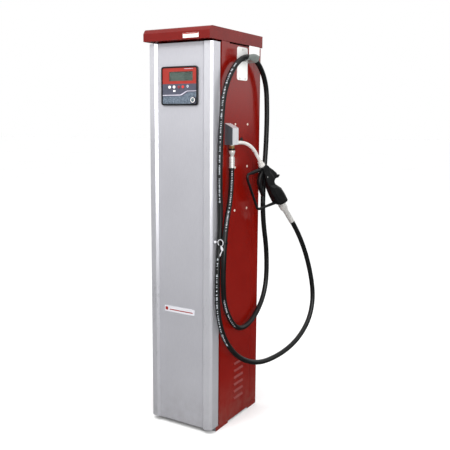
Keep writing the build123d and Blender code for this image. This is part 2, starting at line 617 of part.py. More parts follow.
with BuildPart() as trigger_guard:
    with BuildLine(NOZZLE) as guard_path:
        FilletPolyline(
            (164, -117), (80, -137), (80, -166), (146, -293), (262, -271),
            radius=[16, 45, 18],
        )
    start = on_nozzle(164, -117)
    with BuildSketch(Plane(origin=start, z_dir=on_nozzle(80, -137) - start)):
        Circle(6)
    sweep(path=guard_path.wires()[0])
save(trigger_guard.part, "trigger_guard")

with BuildPart() as swivel_stub:
    rod(swivel_start - swivel_axis * 20, swivel_axis, 26, 16)
    rod(swivel_start, swivel_axis, 30, 9)
    rod(swivel_start - swivel_axis * 21, swivel_axis, 60, 6, Mode.SUBTRACT)
save(swivel_stub.part, "swivel_stub")

with BuildPart() as hose_swivel:
    rod(swivel_start + swivel_axis * 6.4, swivel_axis, 27, 17.5)
    rod(swivel_start + swivel_axis * 33, swivel_axis, 13, 14)
    rod(swivel_start + swivel_axis * 46, swivel_axis, SWIVEL_LEN - 46, 12.3)
    rod(swivel_start + swivel_axis * 6, swivel_axis, 24.4, 9 + RUN_FIT, Mode.SUBTRACT)
    rod(swivel_start + swivel_axis * 6, swivel_axis, SWIVEL_LEN, 5, Mode.SUBTRACT)
    for a in (92, 100, 108):
        with BuildSketch(Plane(origin=swivel_start + swivel_axis * a, z_dir=swivel_axis)):
            Circle(14)
            Circle(11.4, mode=Mode.SUBTRACT)
        extrude(amount=4, mode=Mode.SUBTRACT)
save(hose_swivel.part, "hose_swivel")

# ------------------------------------------------------------------ pump, motor and meter
with BuildPart() as pump_shelf:
    box_between((-INNER + 0.2, -120, SHELF_Z - 3), (INNER - 0.2, 70, SHELF_Z))
    for side in (-1, 1):
        box_between(
            (side * (INNER - 0.2), -120, SHELF_Z - 33), (side * (INNER - 3.2), 70, SHELF_Z)
        )
    rod((METER_X, INLET_Y, SHELF_Z - 5), (0, 0, 1), 10, PIPE_R + 1, Mode.SUBTRACT)
save(pump_shelf.part, "pump_shelf")

with BuildPart() as pump_body:
    box_between((PUMP_X0, DRIVE_Y - 55, SHELF_Z), (PUMP_X1, DRIVE_Y + 55, DRIVE_Z + 55))
    fillet(pump_body.edges().filter_by(Axis.X).group_by(Axis.Z)[-1], 14)
    rod((PUMP_X0 - 1, DRIVE_Y, DRIVE_Z), (1, 0, 0), 61, 40, Mode.SUBTRACT)
    rod((PUMP_X0 - 1, DRIVE_Y, DRIVE_Z), (1, 0, 0), 100, SHAFT_R + RUN_FIT, Mode.SUBTRACT)
    rod((METER_X, DRIVE_Y, DRIVE_Z + 30), (0, 0, 1), 40, PIPE_BORE, Mode.SUBTRACT)
    rod((METER_X, DRIVE_Y + 30, DRIVE_Z), (0, 1, 0), 40, PIPE_BORE, Mode.SUBTRACT)
save(pump_body.part, "pump_body")

with BuildPart() as pump_cover:
    box_between((PUMP_X0 - 6, DRIVE_Y - 50, DRIVE_Z - 50), (PUMP_X0, DRIVE_Y + 50, DRIVE_Z + 50))
    fillet(pump_cover.edges().filter_by(Axis.X), 12)
save(pump_cover.part, "pump_cover")

with BuildPart() as pump_rotor:
    with BuildSketch(Plane.YZ.offset(PUMP_X0 + 2)):
        with Locations((DRIVE_Y, DRIVE_Z)):
            Circle(31)
            Circle(SHAFT_R + 0.01, mode=Mode.SUBTRACT)
            with PolarLocations(29, 6):
                Rectangle(18, 3)
    extrude(amount=56)
save(pump_rotor.part, "pump_rotor")

ROTOR_X0, ROTOR_X1 = -20.0, 70.0
with BuildPart() as motor_rotor:
    rod((PUMP_X0 + 2, DRIVE_Y, DRIVE_Z), (1, 0, 0), MOTOR_X1 - 10 - PUMP_X0 - 2, SHAFT_R)
    rod((ROTOR_X0, DRIVE_Y, DRIVE_Z), (1, 0, 0), ROTOR_X1 - ROTOR_X0, 30)
save(motor_rotor.part, "motor_rotor")

with BuildPart() as motor_housing:
    rod((PUMP_X1, DRIVE_Y, DRIVE_Z), (1, 0, 0), MOTOR_X1 - PUMP_X1, 56)
    with BuildSketch(Plane.YZ.offset(PUMP_X1 + 15)):
        with Locations((DRIVE_Y, DRIVE_Z)):
            with PolarLocations(58, 28):
                Rectangle(10, 2.5)
    extrude(amount=MOTOR_X1 - PUMP_X1 - 30)
    box_between((PUMP_X1 + 20, DRIVE_Y - 45, SHELF_Z), (MOTOR_X1 - 20, DRIVE_Y + 45, DRIVE_Z - 50))
    for x0, x1, r in ((PUMP_X1 + 8, MOTOR_X1 - 8, 31), (PUMP_X1 + 8, -26, 46), (76, MOTOR_X1 - 8, 46)):
        rod((x0, DRIVE_Y, DRIVE_Z), (1, 0, 0), x1 - x0, r, Mode.SUBTRACT)
    rod((PUMP_X1 - 1, DRIVE_Y, DRIVE_Z), (1, 0, 0), 137, SHAFT_R + RUN_FIT, Mode.SUBTRACT)
save(motor_housing.part, "motor_housing")

with BuildPart() as inlet_pipe:
    with BuildLine() as inlet_path:
        FilletPolyline(
            (METER_X, INLET_Y, 5), (METER_X, INLET_Y, DRIVE_Z), (METER_X, DRIVE_Y + 55, DRIVE_Z),
            radius=18,
        )
    with BuildSketch(Plane.XY.offset(5)):
        with Locations((METER_X, INLET_Y)):
            Circle(PIPE_R)
            Circle(PIPE_BORE, mode=Mode.SUBTRACT)
    sweep(path=inlet_path.wires()[0])
save(inlet_pipe.part, "inlet_pipe")

with BuildPart() as riser_pipe:
    with BuildSketch(Plane.XY.offset(DRIVE_Z + 55)):
        with Locations((METER_X, METER_Y)):
            Circle(PIPE_R)
            Circle(PIPE_BORE, mode=Mode.SUBTRACT)
    extrude(amount=METER_Z0 - DRIVE_Z - 55)
save(riser_pipe.part, "riser_pipe")

METER_MID = (METER_Z0 + METER_Z1) / 2
GEAR_FRONT, GEAR_LEN = METER_Y - 25, 40.0
with BuildPart() as meter_body:
    box_between((METER_X - 58, METER_Y - 40, METER_Z0), (METER_X + 58, METER_Y + 30, METER_Z1))
    with BuildSketch(Plane.XZ.offset(-(METER_Y - 41))):
        for side in (-1, 1):
            with Locations((METER_X + side * GEAR_PITCH, METER_MID)):
                Circle(27.5)
    extrude(amount=-61, mode=Mode.SUBTRACT)
    for z, way in ((METER_Z0, 1), (METER_Z1, -1)):
        rod((METER_X, METER_Y, z), (0, 0, way), 45, 9, Mode.SUBTRACT)
    for side in (-1, 1):
        rod((METER_X + side * GEAR_PITCH, METER_Y + 10, METER_MID), (0, 1, 0), 12, 4.05, Mode.SUBTRACT)
save(meter_body.part, "meter_body")

with BuildPart() as meter_cover:
    box_between((METER_X - 58, METER_Y - 50, METER_Z0), (METER_X + 58, METER_Y - 40, METER_Z1))
    for side in (-1, 1):
        rod((METER_X + side * GEAR_PITCH, METER_Y - 45, METER_MID), (0, 1, 0), 12, 4.05, Mode.SUBTRACT)
    box_between(
        (METER_X - 25, METER_Y - 80, METER_MID - 25), (METER_X + 25, METER_Y - 50, METER_MID + 25)
    )
save(meter_cover.part, "meter_cover")

TEETH = 12
for label, side, turn in (("meter_gear_left", -1, 0.0), ("meter_gear_right", 1, 180.0 / TEETH)):
    with BuildPart() as gear:
        centre = (METER_X + side * GEAR_PITCH, METER_MID)
        with BuildSketch(Plane.XZ.offset(-GEAR_FRONT)):
            with Locations(centre):
                Circle(20.5)
                with PolarLocations(23.2, TEETH, start_angle=turn):
                    Trapezoid(7.2, 6, 69, rotation=-90)
        extrude(amount=-GEAR_LEN)
        rod((centre[0], METER_Y - 44, centre[1]), (0, 1, 0), 64, 4)
    save(gear.part, label)

with BuildPart() as outlet_pipe:
    with BuildLine() as outlet_path:
        FilletPolyline(
            (METER_X, METER_Y, METER_Z1), (METER_X, METER_Y, 1160), (METER_X, OUTLET_Y, OUTLET_Z),
            (OUTLET_X, OUTLET_Y, OUTLET_Z), (OUTLET_X, OUTLET_Y, BOOT_LOW - 4), radius=[60, 32, 16],
        )
    with BuildSketch(Plane.XY.offset(METER_Z1)):
        with Locations((METER_X, METER_Y)):
            Circle(9.5)
            Circle(6.5, mode=Mode.SUBTRACT)
    sweep(path=outlet_path.wires()[0])
save(outlet_pipe.part, "outlet_pipe")

with BuildPart() as junction_box:
    box_between((90, 20, 500), (INNER, 100, 610))
    fillet(junction_box.edges().filter_by(Axis.X), 6)
    box_between((93, 23, 503), (INNER - 3, 97, 607), Mode.SUBTRACT)
    rod((CABLE_X, CABLE_Y, 498), (0, 0, 1), 8, CABLE_R, Mode.SUBTRACT)
save(junction_box.part, "junction_box")
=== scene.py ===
"""Looks of a slim fuel dispenser: cabinet, control panel, looped hose and parked nozzle.

Metres, in the CAD frame: +Z up, -Y is the front, +X the side with the hose.
"""
from math import cos, pi, radians, sin, sqrt

import bmesh
import bpy
import numpy as np
from mathutils import Matrix, Vector


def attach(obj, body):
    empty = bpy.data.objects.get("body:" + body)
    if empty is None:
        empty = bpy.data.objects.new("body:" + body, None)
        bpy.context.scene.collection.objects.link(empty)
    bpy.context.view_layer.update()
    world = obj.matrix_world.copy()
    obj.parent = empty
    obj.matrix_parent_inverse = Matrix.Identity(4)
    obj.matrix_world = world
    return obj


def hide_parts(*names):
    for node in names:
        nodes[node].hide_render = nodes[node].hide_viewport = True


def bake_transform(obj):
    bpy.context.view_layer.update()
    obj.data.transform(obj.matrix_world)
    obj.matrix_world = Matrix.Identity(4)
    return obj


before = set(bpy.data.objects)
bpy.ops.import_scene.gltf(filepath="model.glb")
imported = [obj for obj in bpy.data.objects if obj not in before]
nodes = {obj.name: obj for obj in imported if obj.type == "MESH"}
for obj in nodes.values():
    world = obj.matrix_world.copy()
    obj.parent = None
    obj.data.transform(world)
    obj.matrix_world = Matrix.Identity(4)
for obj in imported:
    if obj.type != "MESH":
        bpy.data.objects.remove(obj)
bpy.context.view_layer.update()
MM = 0.001

# ------------------------------------------------------------------ camera
EYE = (1.58055, -2.4658, 1.3359)
AZIMUTH, PITCH, ROLL = radians(31.17), radians(9.01), radians(0.43)
SENSOR, LENS, FAR = 36, 52.866, 50
ahead = Vector((-sin(AZIMUTH) * cos(PITCH), cos(AZIMUTH) * cos(PITCH), -sin(PITCH)))
level = Vector((cos(AZIMUTH), sin(AZIMUTH), 0))
upright = level.cross(ahead)
side = cos(ROLL) * level + sin(ROLL) * upright
top = cos(ROLL) * upright - sin(ROLL) * level
camera = bpy.data.objects.new("camera", bpy.data.cameras.new("camera"))
camera.data.sensor_width = SENSOR
camera.data.lens = LENS
camera.data.clip_end = FAR
camera.matrix_world = Matrix.Translation(EYE) @ Matrix((side, top, -ahead)).transposed().to_4x4()
bpy.context.collection.objects.link(camera)
bpy.context.scene.camera = camera


# ------------------------------------------------------------------ helpers
def node(tree, kind, inputs=(), **settings):
    """Add a shader node; inputs are (socket, value or output) pairs."""
    n = tree.nodes.new("ShaderNode" + kind)
    for key, value in settings.items():
        setattr(n, key, value)
    for key, value in inputs:
        if isinstance(value, bpy.types.NodeSocket):
            tree.links.new(value, n.inputs[key])
        else:
            n.inputs[key].default_value = value
    return n


def noise(tree, scale, detail=3.0, stretch=(1, 1, 1), rough=0.55):
    """Noise in object space, stretched along an axis for brushed grain."""
    coords = node(tree, "TexCoord").outputs["Object"]
    placed = node(tree, "Mapping", [("Vector", coords), ("Scale", stretch)])
    return node(
        tree, "TexNoise",
        [("Vector", placed.outputs[0]), ("Scale", scale), ("Detail", detail), ("Roughness", rough)],
    ).outputs[0]


def spread(tree, value, low, high, start=0.3, end=0.7):
    """Map a noise value to a range."""
    return node(
        tree, "MapRange",
        [("Value", value), ("From Min", start), ("From Max", end), ("To Min", low), ("To Max", high)],
    ).outputs[0]


def calc(tree, operation, *values):
    """A Math node's result; each value is a number or an output."""
    return node(tree, "Math", enumerate(values), operation=operation).outputs[0]


def xyz(tree, space="Object"):
    """The X, Y and Z outputs of the shaded point."""
    return node(tree, "SeparateXYZ", [("Vector", node(tree, "TexCoord").outputs[space])]).outputs


def blend_colour(tree, factor, a, b):
    """Mix two colours, each a tuple or an output."""
    a, b = (c if isinstance(c, bpy.types.NodeSocket) else (*c, 1) for c in (a, b))
    return node(tree, "Mix", [(0, factor), (6, a), (7, b)], data_type="RGBA").outputs[2]


DUST, DUST_TOP = (0.16, 0.13, 0.11), 0.22


def surface(
    name, dark, light, rough=(0.3, 0.4), metallic=0.0, cloud=6.0, grain=900.0, stretch=(1, 1, 1),
    bump=0.15, depth=0.00002, coat=0.0, coat_rough=0.05, speck=0.35, floor_dirt=0.0, shine=0.5,
):
    """A finished material: clouding and fine grain in colour and roughness, with a bump.

    speck is the fine grain's share, and floor_dirt is how much dust the lowest part carries.
    """
    m = bpy.data.materials.new(name)
    m.use_nodes = True
    t = m.node_tree
    b = t.nodes["Principled BSDF"].inputs
    broad = noise(t, cloud, 4.0)
    fine = noise(t, grain, 2.0, stretch)
    both = calc(t, "ADD", calc(t, "MULTIPLY", fine, speck), calc(t, "MULTIPLY", broad, 1 - speck))
    colour = blend_colour(t, spread(t, both, 0, 1, 0.35, 0.65), dark, light)
    if floor_dirt:
        low = spread(t, xyz(t)["Z"], floor_dirt, 0, 0.0, DUST_TOP)
        dusty = calc(t, "MULTIPLY", low, spread(t, noise(t, 30, 5), 0.2, 1))
        colour = blend_colour(t, dusty, colour, DUST)
    t.links.new(colour, b["Base Color"])
    t.links.new(spread(t, both, *rough), b["Roughness"])
    if bump:
        bumped = node(t, "Bump", [("Height", fine), ("Strength", bump), ("Distance", depth)])
        t.links.new(bumped.outputs[0], b["Normal"])
    b["Metallic"].default_value = metallic
    b["Specular IOR Level"].default_value = shine
    b["Coat Weight"].default_value = coat
    b["Coat Roughness"].default_value = coat_rough
    return m


def paint(obj, material):
    """Give an object one material."""
    obj.data.materials.clear()
    obj.data.materials.append(material)
    return obj


def add_mesh(name, vertices, faces, material, body="cabinet", smooth=True, ride=True):
    """A new mesh object from plain lists, riding on a body."""
    mesh = bpy.data.meshes.new(name)
    mesh.from_pydata([tuple(v) for v in vertices], [], faces)
    mesh.validate()
    obj = bpy.data.objects.new(name, mesh)
    bpy.context.collection.objects.link(obj)
    for polygon in mesh.polygons:
        polygon.use_smooth = smooth
    paint(obj, material)
    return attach(obj, body) if ride else obj


def soften(obj, width=0.0005, segments=2, angle=35):
    """Round a sheet or machined piece's edges a little and shade it smoothly."""
    weld = obj.modifiers.new("weld", "WELD")
    weld.merge_threshold = 0.000002
    bevel = obj.modifiers.new("bevel", "BEVEL")
    bevel.width = width
    bevel.segments = segments
    bevel.limit_method = "ANGLE"
    bevel.angle_limit = radians(angle)
    bevel.harden_normals = False
    normals = obj.modifiers.new("normals", "WEIGHTED_NORMAL")
    normals.keep_sharp = True


def baked(obj):
    """The object's mesh with its modifiers applied; the object is removed."""
    shaped = obj.evaluated_get(bpy.context.evaluated_depsgraph_get())
    mesh = bpy.data.meshes.new_from_object(shaped)
    bpy.data.objects.remove(obj)
    return mesh


def nurbs_curve(name, points, detail=40):
    """An open NURBS curve of order 3 with these control points."""
    curve = bpy.data.curves.new(name, "CURVE")
    curve.dimensions = "3D"
    curve.resolution_u = detail
    spline = curve.splines.new("NURBS")
    spline.points.add(len(points) - 1)
    for point, place in zip(spline.points, points):
        point.co = (*place, 1)
    spline.order_u = 3
    spline.use_endpoint_u = True
    obj = bpy.data.objects.new(name, curve)
    bpy.context.collection.objects.link(obj)
    return obj


def curve_points(obj):
    """Points along a curve object that has no bevel."""
    bpy.context.view_layer.update()
    mesh = bpy.data.meshes.new_from_object(obj)
    line = np.array([v.co[:] for v in mesh.vertices])
    bpy.data.meshes.remove(mesh)
    return line


def nurbs_line(points, detail=40):
    """Points along the NURBS curve of these control points."""
    obj = nurbs_curve("line", points, detail)
    line = curve_points(obj)
    bpy.data.objects.remove(obj)
    return line


def frames(path):
    """Tangents and twist-free normals along a sampled path."""
    aside = (0.3, 0.4, 0.86)
    tangents = np.gradient(path, axis=0)
    tangents /= np.linalg.norm(tangents, axis=1)[:, None]
    start = np.cross(tangents[0], aside)
    normals = [start / np.linalg.norm(start)]
    for t in tangents[1:]:
        v = normals[-1] - t * np.dot(normals[-1], t)
        normals.append(v / np.linalg.norm(v))
    return tangents, np.array(normals)


def ring_faces(rings, around):
    """Quads that join each ring of vertices to the next."""
    faces = []
    for i in range(rings - 1):
        for j in range(around):
            k = (j + 1) % around
            faces.append((i * around + j, i * around + k, (i + 1) * around + k, (i + 1) * around + j))
    return faces


def end_faces(rings, around):
    """The faces that close the first ring and the last."""
    return [tuple(reversed(range(around))), tuple(range((rings - 1) * around, rings * around))]


def tube(name, path, radius, material, around=20, caps=True, body="cabinet", ride=True):
    """A round tube along a sampled path; radius is a number or one per sample."""
    tangents, normals = frames(path)
    across = np.cross(tangents, normals)
    radii = np.broadcast_to(radius, len(path))
    ring = np.linspace(0, 2 * pi, around, endpoint=False)
    vertices = []
    for p, n, b, r in zip(path, normals, across, radii):
        vertices += [p + r * (cos(a) * n + sin(a) * b) for a in ring]
    faces = ring_faces(len(path), around)
    if caps:
        faces += end_faces(len(path), around)
    return add_mesh(name, vertices, faces, material, body, ride=ride)


def prism(name, vertices, material, **settings):
    """A closed solid between two copies of an outline, whose vertices follow one another."""
    count = len(vertices) // 2
    faces = end_faces(2, count) + ring_faces(2, count)
    obj = add_mesh(name, vertices, faces, material, **settings)
    bm = bmesh.new()
    bm.from_mesh(obj.data)
    bmesh.ops.recalc_face_normals(bm, faces=bm.faces)
    bm.to_mesh(obj.data)
    bm.free()
    return obj


# ------------------------------------------------------------------ materials
silver = surface(
    "silver", (0.53, 0.53, 0.57), (0.59, 0.59, 0.63), (0.42, 0.52), metallic=0.6, cloud=2.5,
    grain=700, stretch=(1, 1, 0.06), bump=0.12, speck=0.55, floor_dirt=0.25,
)
silver_edge = surface(
    "silver_edge", (0.60, 0.60, 0.64), (0.68, 0.68, 0.72), (0.26, 0.34), metallic=0.6, cloud=2.5,
    grain=900, stretch=(1, 1, 0.03), bump=0.1, speck=0.5, floor_dirt=0.2,
)
red = surface(
    "red_paint", (0.162, 0.0030, 0.0010), (0.188, 0.0045, 0.0015), (0.16, 0.24), cloud=5, grain=260,
    bump=0.05, depth=0.00005, coat=0.25, coat_rough=0.03, speck=0.2, floor_dirt=0.3, shine=0.4,
)
lid_red = surface(
    "lid_paint", (0.11, 0.002, 0.001), (0.16, 0.004, 0.002), (0.2, 0.3), cloud=5, grain=260,
    bump=0.05, depth=0.00005, coat=0.15, coat_rough=0.08, speck=0.2, shine=0.25,
)
white = surface(
    "white_enamel", (0.72, 0.72, 0.70), (0.84, 0.84, 0.82), (0.22, 0.34), cloud=12, grain=500,
    bump=0.06, coat=0.4, speck=0.25,
)
steel = surface(
    "turned_steel", (0.54, 0.53, 0.51), (0.62, 0.61, 0.59), (0.24, 0.34), metallic=0.45, cloud=12,
    grain=1500, stretch=(1, 1, 0.3), bump=0.15, speck=0.5,
)
brass = surface(
    "brass", (0.42, 0.27, 0.10), (0.66, 0.47, 0.22), (0.2, 0.36), metallic=1.0, cloud=60,
    grain=1200, bump=0.15, speck=0.4,
)
black = surface(
    "black_plastic", (0.0025, 0.0025, 0.003), (0.006, 0.006, 0.0065), (0.28, 0.42), cloud=20,
    grain=1400, bump=0.3, depth=0.00003, speck=0.5, shine=0.3,
)
rubber = surface(
    "hose_rubber", (0.003, 0.0035, 0.0035), (0.007, 0.008, 0.008), (0.3, 0.44), cloud=14, grain=1100,
    bump=0.35, depth=0.00004, speck=0.5, shine=0.3,
)
print_white = surface(
    "print_ink", (0.16, 0.18, 0.20), (0.62, 0.66, 0.70), (0.5, 0.6), cloud=260, grain=900, bump=0,
    speck=0.3,
)
zinc = surface(
    "zinc_sheet", (0.33, 0.34, 0.36), (0.46, 0.47, 0.50), (0.3, 0.45), metallic=0.8, cloud=25,
    grain=90, bump=0.08, speck=0.5,
)
boot_sheet_painted_reflection = surface(
    "boot_sheet_painted_reflection", (0.68, 0.68, 0.71), (0.76, 0.76, 0.79), (0.24, 0.34), metallic=0.5, cloud=8,
    grain=900, stretch=(1, 1, 0.05), bump=0.1, speck=0.4,
)
iron = surface(
    "cast_iron", (0.06, 0.075, 0.10), (0.11, 0.13, 0.16), (0.45, 0.65), metallic=0.3, cloud=20,
    grain=220, bump=0.5, depth=0.0002, speck=0.5,
)
facia_red = surface(
    "facia_red", (0.25, 0.013, 0.007), (0.31, 0.020, 0.011), (0.3, 0.38), cloud=30, grain=1500,
    bump=0.06, speck=0.3, coat=0.2,
)
facia_grey = surface(
    "facia_grey", (0.045, 0.047, 0.072), (0.065, 0.068, 0.098), (0.3, 0.4), cloud=30, grain=1500,
    bump=0.06, speck=0.3, coat=0.2,
)
facia_low = surface(
    "facia_low", (0.035, 0.05, 0.07), (0.15, 0.19, 0.24), (0.3, 0.4), cloud=160, grain=1500,
    bump=0.06, speck=0.2, coat=0.2,
)
ink = surface(
    "printed_lines", (0.46, 0.44, 0.52), (0.58, 0.56, 0.64), (0.3, 0.4), cloud=60, grain=900, bump=0,
    speck=0.3,
)
key_white = surface(
    "key_white", (0.74, 0.72, 0.72), (0.88, 0.86, 0.86), (0.3, 0.4), cloud=90, grain=1200, bump=0.1,
    speck=0.3,
)
key_red = surface(
    "key_red", (0.48, 0.03, 0.02), (0.6, 0.05, 0.04), (0.3, 0.4), cloud=90, grain=1200, bump=0.1,
    speck=0.3,
)
key_dark = surface(
    "key_dark_red", (0.17, 0.02, 0.03), (0.25, 0.035, 0.045), (0.3, 0.4), cloud=90, grain=1200,
    bump=0.1, speck=0.3,
)
screen = surface(
    "display_screen", (0.06, 0.09, 0.078), (0.09, 0.125, 0.105), (0.25, 0.32), cloud=30, grain=2500,
    bump=0.05, speck=0.5,
)
segment = surface(
    "display_segment", (0.018, 0.026, 0.024), (0.026, 0.034, 0.03), (0.4, 0.5), cloud=60, grain=900,
    bump=0, speck=0.3,
)
rivet_paint = surface(
    "rivet_heads", (0.75, 0.58, 0.48), (0.86, 0.76, 0.68), (0.25, 0.35), metallic=0.4, cloud=150,
    grain=900, bump=0.05, speck=0.3,
)
bright_tube = surface(
    "spout_metal", (0.72, 0.70, 0.67), (0.79, 0.77, 0.74), (0.24, 0.32), metallic=0.4, cloud=12,
    grain=900, bump=0.08, speck=0.4,
)
reader_face = surface(
    "reader_face", (0.05, 0.08, 0.09), (0.12, 0.17, 0.18), (0.2, 0.3), cloud=200, grain=1200,
    bump=0.05, coat=0.3, speck=0.4,
)
board_green = surface(
    "circuit_board", (0.01, 0.09, 0.05), (0.02, 0.14, 0.08), (0.3, 0.45), cloud=90, grain=1200,
    bump=0.2, speck=0.4,
)
saddle = surface(
    "hook_enamel_and_painted_shade", (0.75, 0.75, 0.73), (0.86, 0.86, 0.84), (0.25, 0.36), cloud=12, grain=500,
    bump=0.06, coat=0.3, speck=0.25,
)

# zones of another colour: where each begins and ends, in metres; the hook's is painted shade and the boot's
# a painted reflection
HOOK_MIDDLE, ARCH_DROP, ARCH_EDGE, HOOK_FACE = 0.0155, 3.3, (1.6085, 1.6105), (0.1612, 0.1618)
BADGE_BEHIND, BADGE_BELOW = -0.2, 1.0
BOOT_FRONT = (-0.1225, -0.1205)


def hook_painted_shade(tree, at):
    """The hook's outer part below an arch, painted dark grey as the shade under the hose."""
    off = calc(tree, "SUBTRACT", at["Y"], HOOK_MIDDLE)
    arch = calc(tree, "MULTIPLY_ADD", calc(tree, "MULTIPLY", off, off), ARCH_DROP, at["Z"])
    is_low = spread(tree, arch, 1, 0, *ARCH_EDGE)
    is_out = spread(tree, at["X"], 0, 1, *HOOK_FACE)
    return calc(tree, "MULTIPLY", is_low, is_out)


def badge_zone(tree, at):
    """The front badge, without the lid's label and the rest of what is white."""
    is_front = calc(tree, "LESS_THAN", at["Y"], BADGE_BEHIND)
    is_low = calc(tree, "LESS_THAN", at["Z"], BADGE_BELOW)
    return calc(tree, "MULTIPLY", is_front, is_low)


def boot_painted_reflection(tree, at):
    """The boot's front face, painted dark as a reflection."""
    return spread(tree, at["Y"], 1, 0, *BOOT_FRONT)


for material, zone, colour in (
    # the hook's dark grey is painted shade under the hose
    (saddle, hook_painted_shade, (0.16, 0.18, 0.17)),
    (white, badge_zone, (0.50, 0.50, 0.53)),
    # the boot's front face is painted dark as a reflection
    (boot_sheet_painted_reflection, boot_painted_reflection, (0.10, 0.105, 0.12)),
):
    tree = material.node_tree
    base = tree.nodes["Principled BSDF"].inputs["Base Color"]
    plain = base.links[0].from_socket
    tree.links.new(blend_colour(tree, zone(tree, xyz(tree)), plain, colour), base)

glass = bpy.data.materials.new("window_glass")
glass.use_nodes = True
pane = glass.node_tree.nodes["Principled BSDF"]
pane.inputs["Base Color"].default_value = (0.05, 0.06, 0.055, 1)
pane.inputs["Alpha"].default_value = 0.1
pane.inputs["IOR"].default_value = 1.45
smudge = noise(glass.node_tree, 60, 4)
glass.node_tree.links.new(spread(glass.node_tree, smudge, 0.03, 0.12), pane.inputs["Roughness"])

USES = {
    silver: "front_panel",
    silver_edge: "corner_profile_right corner_profile_left",
    red: "side_panel_right side_panel_left rear_door",
    lid_red: "lid",
    zinc: "base_tray front_crossbars control_housing pump_shelf switch_lever",
    steel: "door_pins door_lock lock_core hook_screws hose_union swivel_stub hose_swivel "
    "pump_rotor motor_rotor meter_gear_left meter_gear_right inlet_pipe riser_pipe outlet_pipe",
    brass: "hose_nipple",
    black: "lever_pin bezel key_reader hole_plug boot_switch nipple_ring hose_tie nozzle_body trigger "
    "trigger_guard",
    facia_red: "display_facia",
    facia_grey: "keypad_facia",
    screen: "display_module",
    glass: "display_window",
    key_white: "key_1 key_2",
    key_dark: "key_3",
    key_red: "key_4",
    board_green: "control_board",
    saddle: "hose_hook",
    white: "badges",
    bright_tube: "spout spout_collar",
    rivet_paint: "side_rivets",
    boot_sheet_painted_reflection: "boot_housing",
    iron: "pump_body pump_cover motor_housing meter_body meter_cover junction_box",
    rubber: "hose_upper hose_lower",
}
for material, names in USES.items():
    for name in names.split():
        paint(nodes[name], material)
# nodes that keep their edges, and nodes whose edges are rounded more than the rest
SHARP = {"display_window", "badges", "hose_upper", "hose_lower"}
NARROW = 0.0004
WIDE = {
    "lid": 0.0025, "front_panel": 0.0008, "bezel": 0.001, "boot_housing": 0.0012, "hose_hook": 0.0008,
    "hose_union": 0.0008, "hose_swivel": 0.001, "hose_nipple": 0.0008, "swivel_stub": 0.001,
    "spout_collar": 0.0012, "key_reader": 0.0006,
}
for name, obj in nodes.items():
    if name not in SHARP:
        soften(obj, WIDE.get(name, NARROW))

# ------------------------------------------------------------------ hoses
HOSE_R = 0.011
# control points of the hose's two runs, in millimetres
UP_ROUTE = [
    (178, -96.5, 1140), (178, -96.5, 1030), (194, -168, 912), (201, -192, 792), (197, -192, 671),
    (188, -162, 549), (183, -47, 420), (180, 103, 429), (178, 229, 541), (178, 235, 725),
    (178, 184, 901), (178, 187, 1059), (180, 202, 1215), (186, 197, 1370), (188, 178, 1512),
    (188, 73, 1606), (186, -63, 1589), (178, -162, 1467), (172, -174, 1308), (171.5, -177.5, 1204),
]
DOWN_ROUTE = [
    (171.5, -177.5, 1204), (171, -181, 1100), (172, -171, 915), (176, -206, 686), (186, -208, 485),
    (206, -113, 333), (236, 38, 252), (272, 199, 253), (306, 326, 299), (328, 420, 393),
    (324, 456, 530), (296.9, 371.8, 775.4), (275.3, 291.1, 875),
]


def run_length(path):
    """The length of a sampled path."""
    return float(np.linalg.norm(np.diff(path, axis=0), axis=1).sum())


def reaches(path):
    """The length along a path at each sample."""
    steps = np.linalg.norm(np.diff(path, axis=0), axis=1)
    return np.concatenate([[0], np.cumsum(steps)])


def reach_at(path, height):
    """The length along a path to where it first passes a height, going down."""
    return float(reaches(path)[np.nonzero(path[:, 2] < height)[0][0]])


hose_run = nurbs_curve("hose_run", np.array(UP_ROUTE) * MM)
up_path = curve_points(hose_run)
down_path = nurbs_line(np.array(DOWN_ROUTE) * MM)
hose_run.data.bevel_depth = HOSE_R
hose_run.data.bevel_resolution = 6
hose_run.data.resolution_u = 16
hose_run.data.use_fill_caps = True
hose_run.data.materials.append(rubber)
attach(hose_run, "cabinet")
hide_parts("hose_upper")

hose_end = tube("hose_end", down_path, HOSE_R, rubber, around=28, ride=False)
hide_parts("hose_lower")

TILT = radians(15)
LIFT = Vector((sin(TILT), cos(TILT), 0))
ACROSS = Vector((cos(TILT), -sin(TILT), 0))
TIP = Vector((177.5, -74.0, 1243.0)) * MM
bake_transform(hose_end)

INK_THICK = 0.00025
MARK_LENGTHS = [0.0018, 0.0026, 0.0036, 0.005]
MARK_ANGLES = [0.2, 0.26, 0.3]
MARK_GAPS, GAP_CHANCES = [0.002, 0.003, 0.005, 0.011], [0.3, 0.3, 0.25, 0.15]
MARK_SHARE, MARK_SLANT, MARK_POINTS = 0.84, 0.0028, 5


